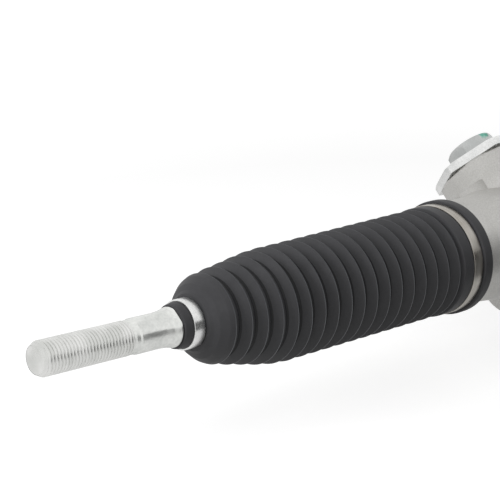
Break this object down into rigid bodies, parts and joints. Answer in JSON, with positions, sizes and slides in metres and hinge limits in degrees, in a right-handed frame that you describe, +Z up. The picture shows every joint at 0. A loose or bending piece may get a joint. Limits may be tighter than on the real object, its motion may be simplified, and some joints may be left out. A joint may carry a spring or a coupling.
{
  "type": "steering rack",
  "caption": "Rack and pinion steering gear with a cast housing, folded rubber bellows, ball-jointed tie rods, a spring-loaded yoke and rubber mounts.",
  "frame": {"origin": "on the rack's axis, midway between the two pinion-side mounting bolts", "axes": "+X along the rack from the pinion end to the far end, +Z up along the mounting bolts, -Y towards the side that the steering shaft leans to"},
  "size_m": [0.9246, 0.1442, 0.0988],
  "materials": {
    "cast_alloy": "as-cast, bead blasted",
    "boot_rubber": "moulded, matte",
    "soft_rubber": "moulded, matte",
    "machined_steel": "turned and ground",
    "zinc_steel": "bright zinc plated",
    "band_steel": "rolled stainless strip",
    "forged_steel": "phosphated",
    "spring_steel": "oil tempered",
    "bearing_steel": "ground and polished",
    "seat_plastic": "moulded acetal",
    "bush_plastic": "moulded polyamide",
    "plug_alloy": "turned"
  },
  "bodies": {
    "housing": {"housing": "cast_alloy", "bearing_outer_ring": "bearing_steel", "bearing_retainer": "zinc_steel", "pinion_seal": "soft_rubber", "pinion_dust_cover": "soft_rubber", "lower_bearing": "bearing_steel", "lower_plug": "zinc_steel", "yoke": "plug_alloy", "yoke_liner": "seat_plastic", "yoke_o_ring": "soft_rubber", "yoke_spring": "spring_steel", "adjuster_plug": "plug_alloy", "lock_nut": "zinc_steel", "rack_bush": "bush_plastic", "bush_circlip": "spring_steel", "saddle_rubber": "soft_rubber", "ear_rubbers": "soft_rubber", "ear_sleeves": "zinc_steel", "near_bellows": "boot_rubber", "far_bellows": "boot_rubber", "near_large_clamp": "band_steel", "far_large_clamp": "band_steel"},
    "rack": {"rack": "machined_steel", "near_socket": "forged_steel", "far_socket": "forged_steel", "near_ball_seat": "seat_plastic", "far_ball_seat": "seat_plastic", "near_lock_washer": "zinc_steel", "far_lock_washer": "zinc_steel"},
    "pinion": {"pinion": "machined_steel", "bearing_inner_ring": "bearing_steel", "shaft_circlip": "spring_steel"},
    "bearing_cage": {"bearing_cage": "zinc_steel", "bearing_balls": "bearing_steel"},
    "near_tie_rod": {"near_tie_rod": "zinc_steel", "near_small_clamp": "band_steel"},
    "far_tie_rod": {"far_tie_rod": "zinc_steel", "far_small_clamp": "band_steel"}
  },
  "joints": [
    {"name": "rack_slide", "type": "slide", "parent": "housing", "child": "rack", "axis": [1, 0, 0], "range_m": [-0.068, 0.068], "deforming": ["near_bellows", "far_bellows"]},
    {"name": "pinion_spin", "type": "hinge", "parent": "housing", "child": "pinion", "pos_m": [-0.05, -0.01057, -0.01134], "axis": [0, -0.7314, 0.682], "range_deg": [-487.01, 487.01]},
    {"name": "cage_orbit", "type": "hinge", "parent": "housing", "child": "bearing_cage", "pos_m": [-0.05, -0.02739, 0.00435], "axis": [0, -0.7314, 0.682], "range_deg": [-194.81, 194.81]},
    {"name": "near_swing", "type": "hinge", "parent": "rack", "child": "near_tie_rod", "pos_m": [-0.194, 0, 0], "axis": [0, 1, 0], "range_deg": [-20, 20], "deforming": ["near_bellows"]},
    {"name": "far_swing", "type": "hinge", "parent": "rack", "child": "far_tie_rod", "pos_m": [0.416, 0, 0], "axis": [0, 1, 0], "range_deg": [-20, 20], "deforming": ["far_bellows"]}
  ],
  "couplings": [
    {"joint": "pinion_spin", "follows": "rack_slide", "rad_per_m": -125},
    {"joint": "cage_orbit", "follows": "rack_slide", "rad_per_m": -50}
  ]
}
